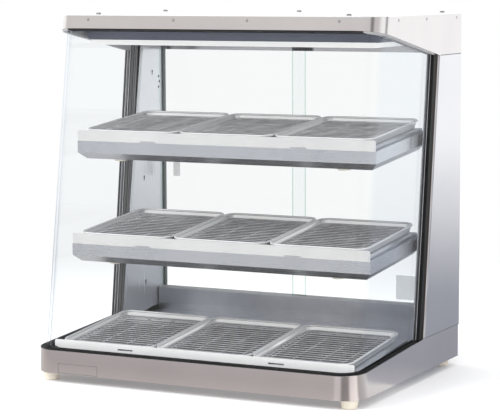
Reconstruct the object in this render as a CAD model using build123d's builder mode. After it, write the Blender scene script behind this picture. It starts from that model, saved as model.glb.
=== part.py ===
from build123d import *
import os
from math import cos, hypot, radians, sin, tan

# Countertop hot food display case with three tilted tiers of trays.
# X runs left to right seen from the front, Y to the rear, Z up, feet on Z = 0. Millimetres.

# Case
HALF_WIDTH = 315.0
FRONT_Y = -234.0
REAR_Y = 234.0
TOP_Z = 645.0
SHEET = 1.5  # outer casing sheet
THIN_SHEET = 1.2  # inner sheet parts
FOOT_HEIGHT = 16.0

# Base band: its rim rises to the rear as far as the side posts
BASE_REAR_Y = 230.0
BASE_CORNER = 43.0
RIM_FRONT_Z = 57.0

# Side posts: the front edge leans back
POST_FOOT_Y = 66.0
POST_FOOT_Z = 75.0
POST_TOP_Y = 128.5
POST_TOP_Z = 571.5
POST_LEAN = (POST_TOP_Y - POST_FOOT_Y) / (POST_TOP_Z - POST_FOOT_Z)
RIM_RISE = (POST_FOOT_Z - RIM_FRONT_Z) / (POST_FOOT_Y - FRONT_Y)
PANEL_INNER_X = 296.5
SEAL_WIDTH = 24.0
SEAL_OUTER_X = 312.5
SEAL_INNER_X = 298.0

# Bent front glass, leaning back
GLASS_THICKNESS = 5.0
GLASS_HALF_WIDTH = 306.0
GLASS_CORNER = 37.0
GLASS_REFERENCE_Z = 60.0
GLASS_REFERENCE_Y = -222.4
GLASS_LEAN = 0.15
GLASS_SEAT = 6.0  # how far the lower edge stands below the base rim
GLASS_HEAD = 10.0  # how far the upper edge stands above the canopy rim
SEAL_LIP = 1.8

# Canopy
CANOPY_CORNER = 47.0
CANOPY_TOP_Y = -144.2
CANOPY_FRONT_Y = -148.5
CANOPY_FRONT_Z = 621.0
CANOPY_LEAN = (CANOPY_TOP_Y - CANOPY_FRONT_Y) / (TOP_Z - CANOPY_FRONT_Z)
CANOPY_DROP = (CANOPY_FRONT_Z - POST_TOP_Z) / (POST_TOP_Y - CANOPY_FRONT_Y)
LID_Z = TOP_Z - SHEET
CEILING_FRONT_Y = -73.0
CEILING_REAR_Y = 200.0
CEILING_HALF_WIDTH = 290.0
CEILING_Z = 599.0
CEILING_CHAMFER = 8.4
DIFFUSER_DEPTH = 9.0
DIFFUSER_REAR_Y = 60.0

# Tiers: front face, tray stop top, seam and fascia bottom; all trays lie at the same tilt
TILT = 5.0
TRAY_LENGTH = 232.0
TRAY_WIDTH = 186.5
TRAY_PITCH = 188.0
TRAY_DEPTH = 16.0
TRAY_GAP = 2.0  # tray stop face to tray rim
BOTTOM_FACE_Y = -193.0
BOTTOM_STOP_Z = 69.5
BOTTOM_RIM_Z = 69.0
MIDDLE_FACE_Y = -127.5
MIDDLE_SEAM_Z = 233.6
TOP_FACE_Y = -105.0
TOP_SEAM_Z = 417.6
STOP_HEIGHT = 19.1
SEAM_GAP = 0.15
RIM_ABOVE_SEAM = 21.3
FASCIA_HEIGHT = 20.9
PAN_CHAMFER = 12.5
SHELF_HALF_WIDTH = 292.0
SHELF_LENGTH = 224.0
PLATE_HALF_WIDTH = 286.0
STOP_HALF_WIDTH = 291.0
TAB_X = 147.0
TAB_WIDTH = 30.0
TAB_HEIGHT = 3.0

# Inner plates, deck, sill and sliding doors
PLATE_X = 295.0
PLATE_LEAN = 0.1546
PLATE_FOOT_Y = 63.4
PLATE_FOOT_Z = 60.0
PLATE_LOW_Z = 75.5
PLATE_TOP_Z = 590.0
DECK_HALF_WIDTH = 291.0
DECK_REAR_Z = 66.0
SILL_Y = 193.0
SILL_TOP_Z = 109.0
TRACK_FRONT_Y = 202.0
TRACK_DEPTH = 19.0
TRACK_RIB = 2.2
TRACK_BASE = 3.0
TRACK_HEIGHT = 11.0
TRACK_FOOT_Z = 99.0
TRACK_HEAD_Z = 612.0
DOOR_THICKNESS = 4.0
DOOR_OUTER_X = 291.5
RIGHT_DOOR_INNER_X = -10.4
LEFT_DOOR_INNER_X = 12.5
DOOR_FOOT_Z = 102.5
DOOR_HEAD_Z = 607.0

TIER_NAMES = ("bottom", "middle", "top")
COLUMN_NAMES = ("left", "centre", "right")


def plan_outline(half_width, front, rear, corner):
    """Plan outline whose two front corners are round."""
    with BuildSketch() as outline:
        with Locations((0, (front + rear) / 2)):
            Rectangle(2 * half_width, rear - front)
        fillet(outline.vertices().group_by(Axis.Y)[0], corner)
    return outline.sketch


def leaning_prism(outline, foot_z, height, lean):
    """Outline pushed up (or down, if height is negative) along a leaning direction."""
    direction = (0, lean, 1) if height > 0 else (0, -lean, -1)
    with BuildPart() as prism:
        with BuildSketch(Plane.XY.offset(foot_z)):
            add(outline)
        extrude(amount=abs(height) * hypot(1, lean), dir=direction)
    return prism.part


def side_slab(points, x_low, x_high):
    """Outline given as (Y, Z) points, extruded between two X positions."""
    with BuildPart() as slab:
        with BuildSketch(Plane.YZ.offset(x_low)):
            with BuildLine():
                Polyline(*points, close=True)
            make_face()
        extrude(amount=x_high - x_low)
    return slab.part


def front_slab(points, y_low, y_high):
    """Outline given as (X, Z) points, extruded between two Y positions."""
    with BuildPart() as slab:
        with BuildSketch(Plane.XZ.offset(-y_high)):
            with BuildLine():
                Polyline(*points, close=True)
            make_face()
        extrude(amount=y_high - y_low)
    return slab.part


def block(x_low, x_high, y_low, y_high, z_low, z_high):
    """Plain block between its limits."""
    with BuildPart() as box:
        with Locations(((x_low + x_high) / 2, (y_low + y_high) / 2, (z_low + z_high) / 2)):
            Box(x_high - x_low, y_high - y_low, z_high - z_low)
    return box.part


def rim_plane(offset=0.0):
    """Sloping plane of the base rim."""
    return Plane(origin=(0, FRONT_Y, RIM_FRONT_Z + offset), x_dir=(1, 0, 0), z_dir=(0, -RIM_RISE, 1))


def canopy_plane(offset=0.0):
    """Sloping plane of the canopy rim."""
    origin = (0, CANOPY_FRONT_Y, CANOPY_FRONT_Z + offset)
    return Plane(origin=origin, x_dir=(1, 0, 0), z_dir=(0, CANOPY_DROP, 1))


def post_plane(offset=0.0):
    """Leaning plane of the post's front edge, facing the rear."""
    origin = (0, POST_FOOT_Y + offset, POST_FOOT_Z)
    return Plane(origin=origin, x_dir=(1, 0, 0), z_dir=(0, 1, -POST_LEAN))


def glass_front_y(z):
    """Y of the glass's outer front face at a height."""
    return GLASS_REFERENCE_Y + GLASS_LEAN * (z - GLASS_REFERENCE_Z)


def glass_prism(inset, foot_z=40.0, head_z=645.0):
    """Solid inside the glass's outer face, moved in by inset (out if negative)."""
    outline = plan_outline(
        GLASS_HALF_WIDTH - inset, glass_front_y(foot_z) + inset, 170 + inset, GLASS_CORNER - inset
    )
    return leaning_prism(outline, foot_z, head_z - foot_z, GLASS_LEAN)


# Tiers -------------------------------------------------------------------------------------

TIER_FACE_Y = (BOTTOM_FACE_Y, MIDDLE_FACE_Y, TOP_FACE_Y)
TIER_RIM_Z = (BOTTOM_RIM_Z, MIDDLE_SEAM_Z + RIM_ABOVE_SEAM, TOP_SEAM_Z + RIM_ABOVE_SEAM)
SLOPE = tan(radians(TILT))


def seat_z(tier, y):
    """Height of the surface that a tier's trays stand on."""
    rim = TIER_RIM_Z[tier] + (y - TIER_FACE_Y[tier] - TRAY_GAP) * SLOPE
    return rim - TRAY_DEPTH / cos(radians(TILT))


def tier_plane(tier, x=0.0, y=0.0, z=0.0):
    """Tilted frame of a tier: local Y up the slope from the trays' front rim, local Z off the rims."""
    start = Plane(
        origin=(0, TIER_FACE_Y[tier] + TRAY_GAP, TIER_RIM_Z[tier]),
        x_dir=(1, 0, 0),
        z_dir=(0, -sin(radians(TILT)), cos(radians(TILT))),
    )
    return Plane(origin=start.from_local_coords(Vector(x, y, z)), x_dir=start.x_dir, z_dir=start.z_dir)


# Base --------------------------------------------------------------------------------------


def make_base_shell():
    """Bright band round the front and sides of the base."""
    outer = plan_outline(HALF_WIDTH, FRONT_Y, BASE_REAR_Y, BASE_CORNER)
    inner = plan_outline(
        HALF_WIDTH - SHEET, FRONT_Y + SHEET, BASE_REAR_Y + SHEET, BASE_CORNER - SHEET
    )
    with BuildPart() as shell:
        with BuildSketch(Plane.XY.offset(FOOT_HEIGHT)):
            add(outer)
            add(inner, mode=Mode.SUBTRACT)
        extrude(amount=POST_FOOT_Z - FOOT_HEIGHT)
        split(bisect_by=rim_plane(), keep=Keep.BOTTOM)
    return shell.part


FOOT_X = 289.0
FOOT_Y = 208.0
FOOT_TOP_RADIUS = 16.0
FOOT_BOTTOM_RADIUS = 13.0
STUD_RADIUS = 4.0
FOOT_PLACES = [(x, y) for x in (-FOOT_X, FOOT_X) for y in (-FOOT_Y, FOOT_Y)]


def make_base_floor():
    """Bottom sheet with the feet's stud holes."""
    outline = plan_outline(
        HALF_WIDTH - SHEET, FRONT_Y + SHEET, BASE_REAR_Y - SHEET, BASE_CORNER - SHEET
    )
    with BuildPart() as floor:
        with BuildSketch(Plane.XY.offset(FOOT_HEIGHT)):
            add(outline)
            with Locations(*FOOT_PLACES):
                Circle(STUD_RADIUS, mode=Mode.SUBTRACT)
        extrude(amount=SHEET)
    return floor.part


def make_rubber_feet():
    """Four tapered feet, each with a stud and a flat nut above the floor."""
    with BuildPart() as feet:
        with BuildSketch():
            with Locations(*FOOT_PLACES):
                Circle(FOOT_BOTTOM_RADIUS)
        with BuildSketch(Plane.XY.offset(FOOT_HEIGHT)):
            with Locations(*FOOT_PLACES):
                Circle(FOOT_TOP_RADIUS)
        for place in FOOT_PLACES:
            with Locations((*place, 0)):
                Cone(
                    FOOT_BOTTOM_RADIUS,
                    FOOT_TOP_RADIUS,
                    FOOT_HEIGHT,
                    align=(Align.CENTER, Align.CENTER, Align.MIN),
                )
                Cylinder(STUD_RADIUS, FOOT_HEIGHT + SHEET, align=(Align.CENTER, Align.CENTER, Align.MIN))
            with Locations((*place, FOOT_HEIGHT + SHEET)):
                Cylinder(2 * STUD_RADIUS, 4, align=(Align.CENTER, Align.CENTER, Align.MIN))
        fillet(feet.edges().filter_by(GeomType.CIRCLE).group_by(Axis.Z)[0], 2)
    return feet.part


# Controls sit in a recess of the rear panel, so that nothing stands out behind the case
RECESS_X = 210.0
RECESS_HALF_WIDTH = 60.0
RECESS_LOW_Z = 24.0
RECESS_HIGH_Z = 70.0
RECESS_FLOOR_Y = 208.0
KNOB_X = 180.0
SWITCH_X = 240.0
CONTROL_Z = 47.0
SPINDLE_RADIUS = 3.0
GLAND_X = -230.0
GLAND_Z = 40.0
GLAND_RADIUS = 8.0


def make_rear_panel():
    """Rear cover of the base with the control recess and the cord hole."""
    low = FOOT_HEIGHT + SHEET
    with BuildPart() as panel:
        add(block(-HALF_WIDTH + SHEET, HALF_WIDTH - SHEET, BASE_REAR_Y - SHEET, BASE_REAR_Y, low, POST_FOOT_Z))
        add(block(-PLATE_X, PLATE_X, BASE_REAR_Y - SHEET, BASE_REAR_Y, POST_FOOT_Z, TRACK_FOOT_Z))
        add(block(-PLATE_X, PLATE_X, TRACK_FRONT_Y, BASE_REAR_Y, TRACK_FOOT_Z - SHEET, TRACK_FOOT_Z))
        recess = (RECESS_X - RECESS_HALF_WIDTH, RECESS_X + RECESS_HALF_WIDTH)
        add(
            block(
                recess[0] - THIN_SHEET,
                recess[1] + THIN_SHEET,
                RECESS_FLOOR_Y - THIN_SHEET,
                BASE_REAR_Y,
                RECESS_LOW_Z - THIN_SHEET,
                RECESS_HIGH_Z + THIN_SHEET,
            )
        )
        add(
            block(*recess, RECESS_FLOOR_Y, BASE_REAR_Y, RECESS_LOW_Z, RECESS_HIGH_Z),
            mode=Mode.SUBTRACT,
        )
        with Locations(Plane(origin=(KNOB_X, RECESS_FLOOR_Y, CONTROL_Z), z_dir=(0, 1, 0))):
            Cylinder(SPINDLE_RADIUS + 0.5, 8, mode=Mode.SUBTRACT)
        with Locations((SWITCH_X, RECESS_FLOOR_Y, CONTROL_Z)):
            Box(SWITCH_BODY[0], 8, SWITCH_BODY[1], mode=Mode.SUBTRACT)
        with Locations(Plane(origin=(GLAND_X, BASE_REAR_Y, GLAND_Z), z_dir=(0, 1, 0))):
            Cylinder(GLAND_RADIUS, 8, mode=Mode.SUBTRACT)
    return panel.part


SWITCH_BODY = (19.0, 27.0)
SWITCH_FLANGE = (24.0, 32.0)
ROCKER_SIZE = (14.0, 22.0)
ROCKER_RADIUS = 13.0
ROCKER_PIVOT_Y = RECESS_FLOOR_Y - 3.5
ROCKER_TILT = 10.0


def make_switch_bezel():
    """Open switch housing with a flange on the recess floor."""
    with BuildPart() as bezel:
        with Locations((SWITCH_X, RECESS_FLOOR_Y + 1, CONTROL_Z)):
            Box(SWITCH_FLANGE[0], 2, SWITCH_FLANGE[1])
        with Locations((SWITCH_X, RECESS_FLOOR_Y - 8, CONTROL_Z)):
            Box(SWITCH_BODY[0], 20, SWITCH_BODY[1])
        with Locations((SWITCH_X, RECESS_FLOOR_Y - 6, CONTROL_Z)):
            Box(ROCKER_SIZE[0] + 1, 20, ROCKER_SIZE[1] + 2.4, mode=Mode.SUBTRACT)
    return bezel.part


def make_rocker():
    """Rocker paddle in its off position; it tips about a cross axis inside the bezel."""
    with BuildPart() as rocker:
        with BuildSketch(Plane.YZ.offset(SWITCH_X - ROCKER_SIZE[0] / 2)):
            with BuildLine():
                low = (RECESS_FLOOR_Y + 4, CONTROL_Z - ROCKER_SIZE[1] / 2 + 1)
                middle = (RECESS_FLOOR_Y + 2, CONTROL_Z)
                high = (RECESS_FLOOR_Y + 4, CONTROL_Z + ROCKER_SIZE[1] / 2 - 1)
                ThreePointArc(low, middle, high)
                Polyline(
                    high,
                    (ROCKER_PIVOT_Y, CONTROL_Z + ROCKER_SIZE[1] / 2 - 1),
                    (ROCKER_PIVOT_Y - 5, CONTROL_Z + 4),
                    (ROCKER_PIVOT_Y - 5, CONTROL_Z - 4),
                    (ROCKER_PIVOT_Y, CONTROL_Z - ROCKER_SIZE[1] / 2 + 1),
                    low,
                )
            make_face()
        extrude(amount=ROCKER_SIZE[0])
    pivot = Axis((SWITCH_X, ROCKER_PIVOT_Y, CONTROL_Z), (1, 0, 0))
    return rocker.part.rotate(pivot, -ROCKER_TILT)


def make_thermostat_body():
    """Bulb thermostat behind the recess floor, with a spindle through it."""
    with BuildPart() as body:
        with Locations((KNOB_X, RECESS_FLOOR_Y - THIN_SHEET - 14, CONTROL_Z - 4)):
            Box(34, 28, 32)
        fillet(body.edges().filter_by(Axis.Y), 4)
        with Locations(Plane(origin=(KNOB_X, RECESS_FLOOR_Y - THIN_SHEET - 1, CONTROL_Z), z_dir=(0, 1, 0))):
            Cylinder(SPINDLE_RADIUS, 13, align=(Align.CENTER, Align.CENTER, Align.MIN))
    return body.part


KNOB_RADIUS = 15.0
KNOB_HEIGHT = 16.0


def make_knob():
    """Skirted dial with a finger bar; the spindle turns inside its bore."""
    knob_plane = Plane(origin=(KNOB_X, RECESS_FLOOR_Y + 0.5, CONTROL_Z), x_dir=(1, 0, 0), z_dir=(0, 1, 0))
    with BuildPart() as knob:
        with BuildSketch(knob_plane):
            Circle(KNOB_RADIUS)
        extrude(amount=4)
        with BuildSketch(knob_plane.offset(4)):
            Circle(KNOB_RADIUS - 3)
        extrude(amount=3)
        with BuildSketch(knob_plane.offset(4)):
            SlotOverall(2 * KNOB_RADIUS - 3, 8, rotation=90)
        extrude(amount=KNOB_HEIGHT - 4)
        with BuildSketch(knob_plane):
            Circle(SPINDLE_RADIUS + 0.05)
        extrude(amount=13, mode=Mode.SUBTRACT)
    return knob.part


def make_cord_gland():
    """Threaded gland with a through hole for the mains lead."""
    gland_plane = Plane(origin=(GLAND_X, BASE_REAR_Y, GLAND_Z), x_dir=(1, 0, 0), z_dir=(0, 1, 0))
    with BuildPart() as gland:
        with BuildSketch(gland_plane.offset(-16)):
            Circle(GLAND_RADIUS)
        extrude(amount=16)
        with BuildSketch(gland_plane.offset(-SHEET - 5)):
            RegularPolygon(GLAND_RADIUS + 4, 6)
        extrude(amount=5)
        with BuildSketch(gland_plane):
            Circle(GLAND_RADIUS + 3)
        extrude(amount=REAR_Y - BASE_REAR_Y)
        with BuildSketch(gland_plane.offset(-16)):
            Circle(4)
        extrude(amount=30, mode=Mode.SUBTRACT)
    return gland.part


# Deck and stops ----------------------------------------------------------------------------

DECK_FRONT_Y = BOTTOM_FACE_Y + THIN_SHEET
DECK_BREAK_Y = BOTTOM_FACE_Y + TRAY_GAP + TRAY_LENGTH


def deck_outline(drop=0.0, inset=0.0):
    """Side outline of the heated deck: a slope under the trays, then a flat shelf to the sill."""
    floor_z = FOOT_HEIGHT + SHEET - (5 if drop else 0)
    return (
        (DECK_FRONT_Y + inset, floor_z),
        (DECK_FRONT_Y + inset, seat_z(0, DECK_FRONT_Y + inset) - drop),
        (DECK_BREAK_Y - inset, seat_z(0, DECK_BREAK_Y - inset) - drop),
        (DECK_BREAK_Y + 8 - inset, DECK_REAR_Z - drop),
        (150, DECK_REAR_Z - drop),
        (150, floor_z),
    )


def make_heated_deck():
    """Folded heated deck with side skirts that stand on the floor sheet."""
    with BuildPart() as deck:
        add(side_slab(deck_outline(), -DECK_HALF_WIDTH, DECK_HALF_WIDTH))
        half = DECK_HALF_WIDTH - THIN_SHEET
        add(side_slab(deck_outline(THIN_SHEET, THIN_SHEET), -half, half), mode=Mode.SUBTRACT)
        add(
            block(-DECK_HALF_WIDTH, DECK_HALF_WIDTH, 150, SILL_Y, DECK_REAR_Z - THIN_SHEET, DECK_REAR_Z)
        )
    return deck.part


def stop_notches(z):
    """Two tab-shaped prisms across the tray stop's seam."""
    with BuildPart() as notches:
        with Locations((-TAB_X, 0, z + TAB_HEIGHT / 2), (TAB_X, 0, z + TAB_HEIGHT / 2)):
            Box(TAB_WIDTH, 1000, TAB_HEIGHT)
    return notches.part


def make_bottom_stop():
    """Front strip of the bottom tier; its lower corners clear the bent glass."""
    outline = (
        (-STOP_HALF_WIDTH, BOTTOM_STOP_Z),
        (STOP_HALF_WIDTH, BOTTOM_STOP_Z),
        (STOP_HALF_WIDTH, 58),
        (266, 50),
        (-266, 50),
        (-STOP_HALF_WIDTH, 58),
    )
    with BuildPart() as stop:
        add(front_slab(outline, BOTTOM_FACE_Y, BOTTOM_FACE_Y + THIN_SHEET))
        fillet(stop.edges().filter_by(Axis.Y).group_by(Axis.Z)[-1], 3)
        add(stop_notches(58.5), mode=Mode.SUBTRACT)
    return stop.part


def make_stop(tier, seam_z):
    """Removable tray stop that stands on a shelf's fascia, notched over its tabs."""
    face_y = TIER_FACE_Y[tier]
    outline = (
        (-STOP_HALF_WIDTH, seam_z + SEAM_GAP),
        (STOP_HALF_WIDTH, seam_z + SEAM_GAP),
        (STOP_HALF_WIDTH, seam_z + STOP_HEIGHT),
        (-STOP_HALF_WIDTH, seam_z + STOP_HEIGHT),
    )
    with BuildPart() as stop:
        add(front_slab(outline, face_y, face_y + THIN_SHEET))
        fillet(stop.edges().filter_by(Axis.Y).group_by(Axis.Z)[-1], 3)
        add(stop_notches(seam_z), mode=Mode.SUBTRACT)
    return stop.part


# Shelves -----------------------------------------------------------------------------------


def rail_bevel(side, face_y, low_z):
    """Wedge that cuts the 45 degree bevel under one rail, running up the shelf's slope."""
    start_y = face_y - 5
    start_z = low_z - 5 * SLOPE
    with BuildPart() as wedge:
        with BuildSketch(Plane.XZ.offset(-start_y)):
            with BuildLine():
                Polyline(
                    (side * SHELF_HALF_WIDTH, start_z),
                    (side * (SHELF_HALF_WIDTH - 2 * PAN_CHAMFER), start_z - 2 * PAN_CHAMFER),
                    (side * (SHELF_HALF_WIDTH + 5), start_z - 2 * PAN_CHAMFER),
                    (side * (SHELF_HALF_WIDTH + 5), start_z),
                    close=True,
                )
            make_face()
        extrude(amount=(SHELF_LENGTH + 20) * hypot(1, SLOPE), dir=(0, 1, SLOPE))
    return wedge.part


def make_shelf_pan(tier, seam_z):
    """Shelf box: upright fascia and rails, bevelled bottom, open under the plate."""
    face_y = TIER_FACE_Y[tier]
    rear_y = face_y + SHELF_LENGTH
    low_z = seam_z - FASCIA_HEIGHT
    rise = SHELF_LENGTH * SLOPE
    bevel_rise = PAN_CHAMFER * SLOPE
    outline = (
        (face_y, seam_z),
        (face_y, low_z),
        (face_y + PAN_CHAMFER, low_z - PAN_CHAMFER + bevel_rise),
        (rear_y, low_z - PAN_CHAMFER + rise),
        (rear_y, seam_z + rise),
    )
    with BuildPart() as pan:
        add(side_slab(outline, -SHELF_HALF_WIDTH, SHELF_HALF_WIDTH))
        for side in (-1, 1):
            add(rail_bevel(side, face_y, low_z), mode=Mode.SUBTRACT)
        lid = pan.faces().sort_by(Axis.Z)[-1]
        offset(amount=-THIN_SHEET, openings=lid, kind=Kind.INTERSECTION)
        for x in (-TAB_X, TAB_X):
            add(
                block(
                    x - TAB_WIDTH / 2 + 0.2,
                    x + TAB_WIDTH / 2 - 0.2,
                    face_y,
                    face_y + THIN_SHEET,
                    seam_z - 0.1,
                    seam_z + TAB_HEIGHT - 0.2,
                )
            )
    return pan.part


def make_shelf_plate(tier, seam_z):
    """Hat-shaped heated plate: a flange on the pan's edge and a raised top for the trays."""
    face_y = TIER_FACE_Y[tier]
    low_y = face_y + THIN_SHEET
    high_y = face_y + SHELF_LENGTH

    def edge_z(y):
        return seam_z + (y - face_y) * SLOPE

    def wedge(y_low, y_high, low, high, half_width):
        points = ((y_low, low(y_low)), (y_high, low(y_high)), (y_high, high(y_high)), (y_low, high(y_low)))
        return side_slab(points, -half_width, half_width)

    def top_z(y):
        return seat_z(tier, y)

    with BuildPart() as plate:
        add(wedge(low_y, high_y, edge_z, lambda y: edge_z(y) + 1, SHELF_HALF_WIDTH))
        add(wedge(low_y, high_y, edge_z, top_z, PLATE_HALF_WIDTH))
        add(
            wedge(
                low_y + THIN_SHEET,
                high_y - THIN_SHEET,
                lambda y: edge_z(y) - 1,
                lambda y: top_z(y) - THIN_SHEET,
                PLATE_HALF_WIDTH - THIN_SHEET,
            ),
            mode=Mode.SUBTRACT,
        )
    return plate.part


def make_shelf_brackets():
    """Four bracket arms that tie the shelf rails to the inner plates."""
    with BuildPart() as brackets:
        for tier, seam_z in ((1, MIDDLE_SEAM_Z), (2, TOP_SEAM_Z)):
            face_y = TIER_FACE_Y[tier]
            low_y = face_y + 155
            high_y = 188

            def edge_z(y):
                return seam_z + (y - face_y) * SLOPE

            points = (
                (low_y, edge_z(low_y) - FASCIA_HEIGHT),
                (high_y, edge_z(high_y) - FASCIA_HEIGHT),
                (high_y, edge_z(high_y)),
                (low_y, edge_z(low_y)),
            )
            add(side_slab(points, SHELF_HALF_WIDTH, PLATE_X))
            add(side_slab(points, -PLATE_X, -SHELF_HALF_WIDTH))
    return brackets.part


BUMPER_X = 220.0
BUMPER_RADIUS = 13.0
BUMPER_HEIGHT = 4.5
SHELF_SCREW_X = 131.0
SHELF_HARDWARE_INSET = 32.0
SCREW_HEAD_RADIUS = 4.5
SCREW_HEAD_HEIGHT = 3.0
SCREW_RADIUS = 2.0


def pan_bottom_plane(tier, seam_z, x):
    """Plane on the underside of a shelf pan near its front, facing down."""
    face_y = TIER_FACE_Y[tier]
    y = face_y + SHELF_HARDWARE_INSET
    z = seam_z - FASCIA_HEIGHT - PAN_CHAMFER + SHELF_HARDWARE_INSET * SLOPE
    return Plane(origin=(x, y, z), x_dir=(1, 0, 0), z_dir=(0, sin(radians(TILT)), -cos(radians(TILT))))


SHELF_SCREW_PLANES = [
    pan_bottom_plane(tier, seam_z, x)
    for tier, seam_z in ((1, MIDDLE_SEAM_Z), (2, TOP_SEAM_Z))
    for x in (-SHELF_SCREW_X, SHELF_SCREW_X)
]
LID_SCREW_PLACES = [(-243, -108), (243, -108), (-285, 215), (0, 215), (285, 215)]
LID_SCREW_PLANES = [Plane.XY.offset(TOP_Z).move(Location((x, y, 0))) for x, y in LID_SCREW_PLACES]


def make_shelf_bumpers():
    """Four round rubber buttons under the shelves."""
    with BuildPart() as bumpers:
        for tier, seam_z in ((1, MIDDLE_SEAM_Z), (2, TOP_SEAM_Z)):
            for x in (-BUMPER_X, BUMPER_X):
                with Locations(pan_bottom_plane(tier, seam_z, x)):
                    Cone(
                        BUMPER_RADIUS,
                        BUMPER_RADIUS - 1.5,
                        BUMPER_HEIGHT,
                        align=(Align.CENTER, Align.CENTER, Align.MIN),
                    )
    return bumpers.part


def make_dome_screws():
    """Identical dome head screws: five in the lid, four under the shelves."""
    with BuildPart() as screws:
        for plane in LID_SCREW_PLANES + SHELF_SCREW_PLANES:
            with Locations(plane):
                Cylinder(SCREW_HEAD_RADIUS, SCREW_HEAD_HEIGHT, align=(Align.CENTER, Align.CENTER, Align.MIN))
                Cylinder(SCREW_RADIUS, 8, align=(Align.CENTER, Align.CENTER, Align.MAX))
        heads = screws.edges().filter_by(GeomType.CIRCLE).filter_by(
            lambda edge: abs(edge.radius - SCREW_HEAD_RADIUS) < 0.01
        )
        tips = [edge for edge in heads if is_head_top(edge)]
        fillet(tips, 2.2)
    return screws.part


def is_head_top(edge):
    """True for the outer edge of a screw head, away from the sheet under it."""
    for plane in LID_SCREW_PLANES + SHELF_SCREW_PLANES:
        local = plane.to_local_coords(edge.arc_center)
        if hypot(local.X, local.Y) < 1 and abs(local.Z - SCREW_HEAD_HEIGHT) < 0.1:
            return True
    return False


def cut_screw_holes(planes):
    """Clearance-free holes for the dome screws' shanks."""
    with BuildPart() as holes:
        for plane in planes:
            with Locations(plane):
                Cylinder(SCREW_RADIUS, 20)
    return holes.part


def make_heating_elements():
    """Three hairpin sheathed elements: under the deck and inside both shelves."""
    leg = 235.0
    bend = 45.0
    with BuildPart() as elements:
        for tier in range(3):
            depth = -TRAY_DEPTH - THIN_SHEET - 8
            frame = tier_plane(tier, 0, TRAY_LENGTH / 2, depth)
            with BuildLine(frame):
                Line((leg, -bend), (-leg, -bend))
                ThreePointArc((-leg, -bend), (-leg - bend, 0), (-leg, bend))
                Line((-leg, bend), (leg, bend))
            start = Plane(
                origin=frame.from_local_coords(Vector(leg, -bend, 0)), z_dir=(-1, 0, 0)
            )
            with BuildSketch(start):
                Circle(4)
            sweep()
    return elements.part


# Glass and its gaskets ---------------------------------------------------------------------


def make_front_glass():
    """One pane bent round both front corners, leaning back."""
    with BuildPart() as glass:
        add(glass_prism(0))
        add(glass_prism(GLASS_THICKNESS), mode=Mode.SUBTRACT)
        split(bisect_by=rim_plane(-GLASS_SEAT), keep=Keep.TOP)
        split(bisect_by=canopy_plane(GLASS_HEAD), keep=Keep.BOTTOM)
        split(bisect_by=post_plane(-SEAL_WIDTH / 2 + 2), keep=Keep.BOTTOM)
    return glass.part


def make_lower_gasket(glass):
    """Black channel between the base rim and the lower edge of the glass."""
    outline = plan_outline(
        HALF_WIDTH - SHEET, FRONT_Y + SHEET, 150, BASE_CORNER - SHEET
    )
    hollow = plan_outline(SEAL_INNER_X, glass_front_y(RIM_FRONT_Z) + 8, 151, 29)
    with BuildPart() as gasket:
        with BuildSketch(Plane.XY.offset(30)):
            add(outline)
            add(hollow, mode=Mode.SUBTRACT)
        extrude(amount=60)
        split(bisect_by=rim_plane(-13), keep=Keep.TOP)
        split(bisect_by=rim_plane(-0.5), keep=Keep.BOTTOM)
        with BuildPart(mode=Mode.PRIVATE) as lip:
            add(glass_prism(-SEAL_LIP))
            add(glass_prism(GLASS_THICKNESS + SEAL_LIP), mode=Mode.SUBTRACT)
            split(bisect_by=rim_plane(-5), keep=Keep.TOP)
            split(bisect_by=rim_plane(1.5), keep=Keep.BOTTOM)
        add(lip.part)
        add(glass, mode=Mode.SUBTRACT)
        split(bisect_by=post_plane(-SEAL_WIDTH), keep=Keep.BOTTOM)
    return gasket.part


def canopy_prism(inset, rear=270.0):
    """Solid inside the canopy's outer face, moved in by inset, from the lid down."""
    front = CANOPY_TOP_Y - CANOPY_LEAN * (TOP_Z - LID_Z)
    outline = plan_outline(HALF_WIDTH - inset, front + inset, rear + inset, CANOPY_CORNER - inset)
    return leaning_prism(outline, LID_Z, -90, CANOPY_LEAN)


def make_upper_gasket(glass):
    """Black channel between the canopy rim and the upper edge of the glass."""
    with BuildPart() as gasket:
        add(canopy_prism(SHEET, 150))
        add(glass_prism(GLASS_THICKNESS + SEAL_LIP), mode=Mode.SUBTRACT)
        split(bisect_by=canopy_plane(-2.5), keep=Keep.TOP)
        split(bisect_by=canopy_plane(GLASS_HEAD + 4), keep=Keep.BOTTOM)
        add(glass, mode=Mode.SUBTRACT)
        split(bisect_by=post_plane(-SEAL_WIDTH), keep=Keep.BOTTOM)
    return gasket.part


def post_edge_y(z):
    """Y of the post's front edge at a height."""
    return POST_FOOT_Y + POST_LEAN * (z - POST_FOOT_Z)


def make_edge_seals(glass):
    """Upright ribbed rubber profiles that hold the glass against both posts."""
    low_z, high_z = 60.0, 588.0
    inner, outer = SEAL_INNER_X, SEAL_OUTER_X
    profile = (
        (outer, 0),
        (inner + 1, 0),
        (inner, -1.5),
        (inner, -4),
        (inner + 1.4, -5.5),
        (inner, -8),
        (inner, -10),
        (inner + 1.4, -12),
        (inner + 1.4, -13.5),
        (inner, -15.5),
        (inner + 1.0, -18),
        (inner, -20),
        (inner + 1.6, -SEAL_WIDTH),
        (outer - 1, -SEAL_WIDTH),
        (outer, -SEAL_WIDTH + 2),
        (outer, -8),
        (outer + 0.8, -7),
        (outer + 0.8, -5),
        (outer, -4),
    )
    foot_y = post_edge_y(low_z)
    with BuildPart() as seal:
        with BuildSketch(Plane.XY.offset(low_z)):
            with BuildLine():
                Polyline(*[(x, foot_y + y) for x, y in profile], close=True)
            make_face()
        extrude(amount=(high_z - low_z) * hypot(1, POST_LEAN), dir=(0, POST_LEAN, 1))
        mirror(about=Plane.YZ)
        add(glass, mode=Mode.SUBTRACT)
    return seal.part


# Posts and inner plates --------------------------------------------------------------------


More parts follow.
